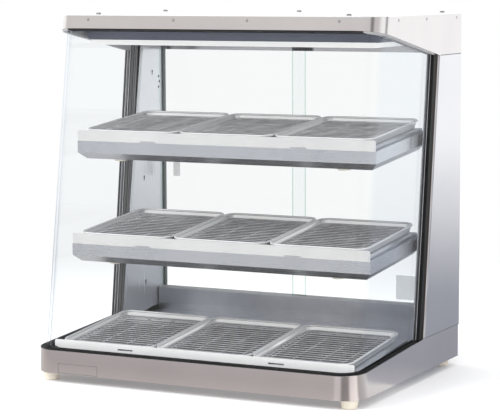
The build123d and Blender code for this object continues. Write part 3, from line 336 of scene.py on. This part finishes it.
def make_clear_plastic():
    """Frosted translucent moulding of the finger pulls and the blank label."""
    t = Tree("frosted_plastic")
    grain = t.noise(t.position((1500, 1500, 1500)), detail=3.0)
    t.surface(
        Base_Color=(0.74, 0.79, 0.78, 1),
        Roughness=t.spread(grain, 0.3, 0.45),
        Normal=t.bump(grain, 0.2, 0.0001),
        Alpha=0.3,
    )
    return t.material


def make_seal_rubber():
    """Ribbed post seal: grey ridges, dark grooves darkened as painted shade, black flank with a pale strip
    by the post.
    """
    t = Tree("seal_rubber")
    split = t.add("ShaderNodeSeparateXYZ")
    t.link(t.position((1, 1, 1)), split.inputs["Vector"])
    across = t.add("ShaderNodeMath", operation="ABSOLUTE")
    t.link(split.outputs["X"], across.inputs[0])
    place = t.spread(across.outputs[0], 0.0, 1.0, SEAL_INNER_X, SEAL_INNER_X + TONED_WIDTH)
    tones = ramp(t.tree, place, SEAL_TONES)
    low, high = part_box("glass_edge_seals")
    lean = (high.y - low.y - SEAL_WIDTH) / (high.z - low.z)
    risen = t.add("ShaderNodeMath", operation="MULTIPLY_ADD")
    t.link(split.outputs["Z"], risen.inputs[0])
    risen.inputs[1].default_value = -lean
    t.link(split.outputs["Y"], risen.inputs[2])
    front_line = low.y - lean * low.z
    along = t.spread(risen.outputs[0], 0.0, 1.0, front_line, front_line + SEAL_WIDTH)
    flank = t.add("ShaderNodeMath", operation="GREATER_THAN")
    t.link(across.outputs[0], flank.inputs[0])
    flank.inputs[1].default_value = high.x - FLANK_DEPTH
    sides = t.blend_colors(flank.outputs[0], tones, ramp(t.tree, along, FLANK_TONES))
    wear = t.noise(t.position((220, 220, 6)), detail=4.0)
    dust = t.blend_colors(t.spread(wear, 0.0, 1.0), (0.72, 0.71, 0.70), (1.0, 1.0, 1.0))
    t.surface(
        Base_Color=t.multiply_colors(sides, dust),
        Roughness=t.spread(wear, 0.40, 0.55),
        Normal=t.bump(wear, 0.2, 0.0002),
        Specular_IOR_Level=0.3,
    )
    return t.material


SEAL_WIDTH = 24 * MM
SEAL_INNER_X = 298 * MM
TONED_WIDTH = 10 * MM
FLANK_DEPTH = 1.2 * MM
SEAL_TONES = [
    (0.0, (0.36, 0.36, 0.37)),
    (0.05, (0.34, 0.34, 0.35)),
    # The dark bands here are painted shade in the seal's grooves.
    (0.10, (0.05, 0.045, 0.042)),
    (0.15, (0.06, 0.05, 0.045)),
    (0.20, (0.52, 0.52, 0.54)),
    (0.86, (0.56, 0.56, 0.58)),
    (0.92, (0.008, 0.008, 0.008)),
    (1.0, (0.006, 0.006, 0.006)),
]
FLANK_TONES = [
    (0.0, (0.004, 0.004, 0.004)),
    (0.66, (0.004, 0.004, 0.004)),
    (0.70, (0.10, 0.065, 0.05)),
    (0.76, (0.12, 0.08, 0.06)),
    (0.80, (0.60, 0.60, 0.62)),
    (1.0, (0.66, 0.66, 0.68)),
]


opal = make_diffuser()
seal_rubber = make_seal_rubber()
frosted = make_clear_plastic()

FINISH = {
    "base_shell": band_steel, "canopy_shell": band_steel, "canopy_lid": lid_steel,
    "base_floor": shelf_steel, "base_rear_panel": shelf_steel, "rubber_feet": cream_rubber,
    "heated_deck": deck_smudge_and_reflection, "heating_elements": sheath_steel, "bottom_tray_stop": low_stop_painted_light,
    "middle_tray_stop": stop_painted_shade, "top_tray_stop": stop_painted_shade,
    "lower_glass_gasket": black_rubber, "upper_glass_gasket": black_rubber,
    "glass_edge_seals": seal_rubber, "front_glass": pane_glass,
    "left_door_glass": door_glass, "right_door_glass": door_glass,
    "left_door_pull": frosted, "right_door_pull": frosted,
    "left_side_panel": side_steel, "right_side_panel": side_steel,
    "left_inner_plate": lining_steel, "right_inner_plate": lining_steel,
    "door_jambs": grey_plastic, "rear_sill": deck_smudge_and_reflection, "door_tracks": track_metal,
    "dome_screws": screw_steel, "band_rivets": screw_steel, "ceiling_box": box_steel,
    "lamp_diffuser": opal, "lamp_bar": lamp_metal, "middle_shelf_pan": fascia_steel,
    "top_shelf_pan": fascia_steel, "middle_shelf_plate": deck_smudge_and_reflection, "top_shelf_plate": deck_smudge_and_reflection,
    "shelf_brackets": shelf_steel, "shelf_bumpers": cream_rubber,
    "thermostat_body": housing_plastic, "thermostat_knob": black_plastic,
    "switch_bezel": black_plastic, "switch_rocker": red_plastic, "cord_gland": black_plastic,
}
for name, node in nodes.items():
    finish = FINISH.get(name)
    if finish is None:
        finish = tray_steel if name.endswith("_tray") else wire_steel
    node.data.materials.clear()
    node.data.materials.append(finish)


def paint_faces(name, material, chosen):
    """Give the chosen faces of a node a second material."""
    mesh = nodes[name].data
    mesh.materials.append(material)
    for face in mesh.polygons:
        if chosen(face):
            face.material_index = 1


def tray_floor(name):
    """Test for the faces of a tray's flat bottom, which lie low in the tier's slope."""
    vertices = nodes[name].data.vertices
    floor_z = min(v.co.z - TIER_SLOPE * v.co.y for v in vertices)

    def is_floor(face):
        height = face.center.z - TIER_SLOPE * face.center.y - floor_z
        return face.normal.z > ALONG_AXIS and height < TRAY_FLOOR_HEIGHT

    return is_floor


def faces_inward(face):
    """Test for the hidden inner face of a side panel, behind the inner plate."""
    inward = face.normal.x * face.center.x < -ALONG_AXIS * abs(face.center.x)
    return inward and face.center.y > PANEL_LINING_Y


ALONG_AXIS = 0.9
TRAY_FLOOR_HEIGHT = 6 * MM
PANEL_LINING_Y = 100 * MM
GASKET_SIDE_X = 285 * MM
GASKET_CORNER_Y = -190 * MM

# Tray floors take the painted reflection material.
for name in nodes:
    if name.endswith("_tray"):
        paint_faces(name, tray_floor_painted_reflection, tray_floor(name))
for name in ("left_door_glass", "right_door_glass"):
    paint_faces(name, edge_glass, lambda face: abs(face.normal.y) < ALONG_AXIS)
# Hidden inner faces of the side panels get the painted shade.
for name in ("left_side_panel", "right_side_panel"):
    paint_faces(name, hidden_face_painted_shade, faces_inward)
for name in ("middle_shelf_pan", "top_shelf_pan"):
    paint_faces(name, shelf_steel, lambda face: face.normal.y > -ALONG_AXIS)
paint_faces(
    "upper_glass_gasket",
    pale_rubber,
    lambda face: abs(face.center.x) > GASKET_SIDE_X and face.center.y > GASKET_CORNER_Y,
)


# ---------------------------------------------------------------- added pieces


def piece(name, mesh_builder, material, body):
    """New mesh piece that rides on a body."""
    bm = bmesh.new()
    mesh_builder(bm)
    mesh = bpy.data.meshes.new(name)
    bm.to_mesh(mesh)
    bm.free()
    obj = bpy.data.objects.new(name, mesh)
    scene.collection.objects.link(obj)
    mesh.materials.append(material)
    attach(obj, body)
    return obj


def add_box(bm, low, high, bevel=0.0, segments=2):
    """Box between two corners with rounded edges."""
    low, high = Vector(low), Vector(high)
    made = bmesh.ops.create_cube(bm, size=1.0)
    verts = made["verts"]
    for v in verts:
        v.co = Vector((low[i] + (v.co[i] + 0.5) * (high[i] - low[i]) for i in range(3)))
    if bevel:
        edges = list({e for v in verts for e in v.link_edges})
        bmesh.ops.bevel(bm, geom=edges, offset=bevel, segments=segments, affect="EDGES", profile=0.5)


def bar(bm, centre, length, width, angle, depth, y):
    """Small raised bar on a plane facing +Y."""
    made = bmesh.ops.create_cube(bm, size=1.0)
    turn = Matrix.Rotation(angle, 4, "Y")
    for v in made["verts"]:
        local = Vector((v.co.x * width, v.co.y * depth, v.co.z * length))
        v.co = turn @ local + Vector((centre[0], y, centre[1]))


knob_low, knob_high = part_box("thermostat_knob")
knob_centre = ((knob_low.x + knob_high.x) / 2, (knob_low.z + knob_high.z) / 2)
panel_y = knob_low.y - 0.5 * MM


def dial_scale(bm):
    for index in range(11):
        angle = math.radians(-135 + 27 * index)
        reach = 18.5 * MM
        centre = (knob_centre[0] + reach * math.sin(angle), knob_centre[1] + reach * math.cos(angle))
        length = 3.0 * MM if index % 5 == 0 else 2.0 * MM
        bar(bm, centre, length, 0.7 * MM, angle, 0.2 * MM, panel_y + 0.1 * MM)


def knob_pointer(bm):
    add_box(
        bm,
        (knob_centre[0] - 0.5 * MM, knob_high.y - 0.1 * MM, knob_centre[1] + 4 * MM),
        (knob_centre[0] + 0.5 * MM, knob_high.y + 0.15 * MM, knob_centre[1] + 12.5 * MM),
        0.05 * MM,
        1,
    )


door_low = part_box("right_door_glass")[0]


def blank_label(bm):
    add_box(
        bm,
        (202 * MM, door_low.y - 0.45 * MM, 117 * MM),
        (242 * MM, door_low.y - 0.02 * MM, 162 * MM),
        0.2 * MM,
    )


base_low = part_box("base_shell")[0]
PLATE_LEFT, PLATE_WIDTH = -260 * MM, 80 * MM
PLATE_BOTTOM, PLATE_HEIGHT = 17.5 * MM, 17.5 * MM
FRAME_WIDTH = 0.8 * MM
FRAME_DEPTH = 0.1 * MM


def caution_plate(bm):
    """Thin raised empty frame, low on the left of the base front."""
    left, right = PLATE_LEFT, PLATE_LEFT + PLATE_WIDTH
    bottom, top = PLATE_BOTTOM, PLATE_BOTTOM + PLATE_HEIGHT
    face = base_low.y
    add_box(bm, (left, face - FRAME_DEPTH, bottom), (right, face, bottom + FRAME_WIDTH))
    add_box(bm, (left, face - FRAME_DEPTH, top - FRAME_WIDTH), (right, face, top))
    add_box(bm, (left, face - FRAME_DEPTH, bottom), (left + FRAME_WIDTH, face, top))
    add_box(bm, (right - FRAME_WIDTH, face - FRAME_DEPTH, bottom), (right, face, top))


POST_HEAD_Y = max(v.co.y for v in nodes["glass_edge_seals"].data.vertices)
BEAD_HALF_HEIGHT = 0.7 * MM
BEAD_PROUD = 0.12 * MM
BEAD_INSET = 1 * MM


def seam_shadow_bead(bm):
    """Thin dark strip along the post's lower and upper joints on both sides, a painted shadow line at the
    seams.
    """
    for name in ("left_side_panel", "right_side_panel"):
        low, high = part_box(name)
        outward = 1 if high.x > 0 else -1
        face_x = high.x if outward > 0 else low.x
        edge_x = face_x + outward * BEAD_PROUD
        for joint_z, start_y in ((low.z, low.y), (high.z, POST_HEAD_Y)):
            add_box(
                bm,
                (min(face_x, edge_x), start_y + BEAD_INSET, joint_z - BEAD_HALF_HEIGHT),
                (max(face_x, edge_x), high.y - BEAD_INSET, joint_z + BEAD_HALF_HEIGHT),
            )


rear_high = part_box("base_rear_panel")[1]


def rating_plate(bm):
    add_box(
        bm,
        (-70 * MM, rear_high.y, 34 * MM),
        (10 * MM, rear_high.y + 0.6 * MM, 62 * MM),
        0.25 * MM,
    )
    for x in (-66, 6):
        for z in (38, 58):
            made = bmesh.ops.create_uvsphere(bm, u_segments=12, v_segments=8, radius=1.3 * MM)
            for v in made["verts"]:
                v.co = Vector((v.co.x + x * MM, v.co.y * 0.5 + rear_high.y + 0.55 * MM, v.co.z + z * MM))


piece("dial_scale", dial_scale, black_plastic, "case")
piece("knob_pointer", knob_pointer, white_plastic, "thermostat_dial")
piece("blank_label", blank_label, frosted, "right_door")
piece("caution_plate", caution_plate, grey_plastic, "case")
# Painted shadow line along the side panels' seams.
piece("seam_shadow_bead", seam_shadow_bead, grey_plastic, "case")
piece("rating_plate", rating_plate, track_metal, "case")


# ---------------------------------------------------------------- stage


def stage_plane(name, size, location, rotation, material):
    bpy.ops.mesh.primitive_plane_add(size=size, location=location, rotation=rotation)
    plane = bpy.context.active_object
    plane.name = name
    plane.data.materials.append(material)
    return plane


def make_floor_material():
    """White studio floor; polished metal sees a warmer, darker table near the object instead."""
    t = Tree("pale_floor")
    clouds = t.noise(t.position((2, 2, 2)), detail=3.0)
    pale = t.surface(
        Base_Color=t.blend_colors(t.spread(clouds, 0.0, 1.0), (0.93, 0.93, 0.935), (0.95, 0.95, 0.955)),
        Roughness=0.6,
        Specular_IOR_Level=0.2,
    )
    white = t.add("ShaderNodeEmission")
    white.inputs["Color"].default_value = (1, 1, 1, 1)
    distance = t.add("ShaderNodeVectorMath", operation="LENGTH")
    t.link(t.position((1, 1, 1)), distance.inputs[0])
    fade = t.add("ShaderNodeMixShader")
    t.link(t.spread(distance.outputs["Value"], 0.0, 1.0, 0.55, 1.6), fade.inputs["Fac"])
    t.link(pale.outputs["BSDF"], fade.inputs[1])
    t.link(white.outputs["Emission"], fade.inputs[2])
    split = t.add("ShaderNodeSeparateXYZ")
    t.link(t.position((1, 1, 1)), split.inputs["Vector"])
    front = ramp(t.tree, t.spread(split.outputs["Y"], 0.0, 1.0, -4.0, 0.0), FLOOR_FRONT)
    rear = ramp(t.tree, t.spread(split.outputs["Y"], 0.0, 1.0, 0.0, 5.0), FLOOR_REAR)
    side = t.add("ShaderNodeMath", operation="GREATER_THAN")
    t.link(split.outputs["Y"], side.inputs[0])
    side.inputs[1].default_value = 0.0
    color = t.blend_colors(side.outputs[0], front, rear)
    sweep = t.add("ShaderNodeTexGradient", gradient_type="RADIAL")
    t.link(t.position((1, 1, 1), (-CORNER_X, -CORNER_Y, 0)), sweep.inputs["Vector"])
    striped = t.multiply_colors(color, ramp(t.tree, sweep.outputs["Fac"], CORNER_STRIPES))
    table = t.add("ShaderNodeEmission")
    t.link(striped, table.inputs["Color"])
    rays = t.add("ShaderNodeLightPath")
    mix = t.add("ShaderNodeMixShader")
    t.link(rays.outputs["Is Glossy Ray"], mix.inputs["Fac"])
    t.link(fade.outputs["Shader"], mix.inputs[1])
    t.link(table.outputs["Emission"], mix.inputs[2])
    t.link(mix.outputs["Shader"], t.output.inputs["Surface"])
    return t.material


CORNER_X, CORNER_Y = 0.27, -0.19
CORNER_STRIPES = [
    (0.0, (1.0, 1.0, 1.0)),
    (0.20, (1.0, 1.0, 1.0)),
    (0.225, (1.35, 1.35, 1.35)),
    (0.27, (1.30, 1.30, 1.30)),
    (0.29, (0.55, 0.54, 0.54)),
    (0.36, (0.60, 0.59, 0.59)),
    (0.385, (1.7, 1.7, 1.7)),
    (0.46, (1.8, 1.8, 1.8)),
    (0.48, (0.75, 0.75, 0.76)),
    (0.56, (0.80, 0.80, 0.82)),
    (0.62, (1.0, 1.0, 1.0)),
    (1.0, (1.0, 1.0, 1.0)),
]
FLOOR_FRONT = [
    (0.0, (0.50, 0.50, 0.54)),
    (0.55, (0.46, 0.46, 0.50)),
    (0.84, (0.56, 0.52, 0.52)),
    (0.90, (0.48, 0.44, 0.44)),
    (0.94, (0.62, 0.57, 0.55)),
    (1.0, (0.85, 0.84, 0.84)),
]
FLOOR_REAR = [
    (0.0, (0.50, 0.50, 0.54)),
    (0.04, (0.36, 0.37, 0.42)),
    (0.20, (0.40, 0.41, 0.46)),
    (0.48, (0.80, 0.80, 0.83)),
    (0.90, (1.10, 1.10, 1.12)),
    (1.0, (1.15, 1.15, 1.16)),
]
stage_plane("floor", 60.0, (0, 0, 0), (0, 0, 0), make_floor_material())


def make_world():
    """White surroundings for the camera; reflections see a studio of white walls and darker gaps."""
    world = bpy.data.worlds.new("studio")
    world.use_nodes = True
    tree = world.node_tree
    tree.nodes.clear()
    coordinates = tree.nodes.new("ShaderNodeTexCoord")
    split = tree.nodes.new("ShaderNodeSeparateXYZ")
    tree.links.new(coordinates.outputs["Generated"], split.inputs["Vector"])
    front = ramp(tree, split.outputs["Z"], SKY_FRONT)
    rear = ramp(tree, split.outputs["Z"], SKY_REAR)
    side = tree.nodes.new("ShaderNodeMapRange")
    side.inputs["From Min"].default_value = -0.15
    side.inputs["From Max"].default_value = 0.15
    tree.links.new(split.outputs["Y"], side.inputs["Value"])
    sky = mix_colors(tree, side.outputs["Result"], front, rear)
    dark = ramp(tree, split.outputs["X"], SKY_SIDES)
    toned = mix_colors(tree, 1.0, sky, dark, "MULTIPLY")
    rays = tree.nodes.new("ShaderNodeLightPath")
    seen = tree.nodes.new("ShaderNodeBackground")
    seen.inputs["Color"].default_value = (1, 1, 1, 1)
    mirrored = tree.nodes.new("ShaderNodeBackground")
    tree.links.new(toned, mirrored.inputs["Color"])
    mix = tree.nodes.new("ShaderNodeMixShader")
    tree.links.new(rays.outputs["Is Glossy Ray"], mix.inputs["Fac"])
    tree.links.new(seen.outputs["Background"], mix.inputs[1])
    tree.links.new(mirrored.outputs["Background"], mix.inputs[2])
    output = tree.nodes.new("ShaderNodeOutputWorld")
    tree.links.new(mix.outputs["Shader"], output.inputs["Surface"])
    return world


SKY_FRONT = [
    (0.0, (0.68, 0.66, 0.65)),
    (0.30, (0.74, 0.72, 0.71)),
    (0.50, (0.98, 0.97, 0.96)),
    (1.0, (0.55, 0.56, 0.60)),
]
SKY_REAR = [
    (0.0, (1.15, 1.15, 1.15)),
    (0.17, (1.15, 1.15, 1.15)),
    (0.26, (0.20, 0.20, 0.22)),
    (0.50, (0.22, 0.22, 0.25)),
    (1.0, (0.50, 0.51, 0.54)),
]
SKY_SIDES = [
    (0.0, (1.0, 1.0, 1.0)),
    (0.68, (1.0, 1.0, 1.0)),
    (0.76, (0.35, 0.34, 0.35)),
    (0.84, (0.40, 0.40, 0.42)),
    (0.90, (1.0, 1.0, 1.0)),
    (1.0, (1.0, 1.0, 1.0)),
]
scene.world = make_world()


def softbox(name, location, target, size, power, color=(1, 1, 1)):
    light = bpy.data.lights.new(name, "AREA")
    light.shape = "RECTANGLE"
    light.size, light.size_y = size
    light.energy = power
    light.color = color
    obj = bpy.data.objects.new(name, light)
    scene.collection.objects.link(obj)
    obj.location = location
    direction = Vector(target) - Vector(location)
    obj.rotation_euler = direction.to_track_quat("-Z", "Y").to_euler()
    obj.visible_glossy = False
    return obj


softbox("key", (-2.4, -2.2, 2.4), (0, 0, 0.3), (2.0, 2.0), 85)
softbox("fill", (3.0, -2.0, 1.8), (0, 0, 0.3), (1.6, 2.2), 25, (0.95, 0.97, 1.0))
softbox("top", (0.0, -0.2, 2.8), (0, 0, 0), (2.6, 2.2), 40)

# ---------------------------------------------------------------- camera

AZIMUTH, PITCH, ROLL = math.radians(26.46), math.radians(6.57), math.radians(-0.205)
CAMERA_PLACE = (1.5984, -3.2057, 0.7073)
FOCAL_LENGTH_MM = 144.69408
back = Vector((math.sin(AZIMUTH) * math.cos(PITCH), -math.cos(AZIMUTH) * math.cos(PITCH), math.sin(PITCH)))
right = Vector((math.cos(AZIMUTH), math.sin(AZIMUTH), 0.0))
up = back.cross(right)
rolled = right * math.cos(ROLL) + up * math.sin(ROLL)
up = back.cross(rolled)
camera_data = bpy.data.cameras.new("camera")
camera_data.sensor_width = 36.0
camera_data.sensor_fit = "HORIZONTAL"
camera_data.lens = FOCAL_LENGTH_MM
camera_data.clip_end = 200.0
camera = bpy.data.objects.new("camera", camera_data)
scene.collection.objects.link(camera)
pose = Matrix((rolled, up, back)).transposed().to_4x4()
pose.translation = Vector(CAMERA_PLACE)
camera.matrix_world = pose
scene.camera = camera
scene.view_settings.view_transform = "Standard"
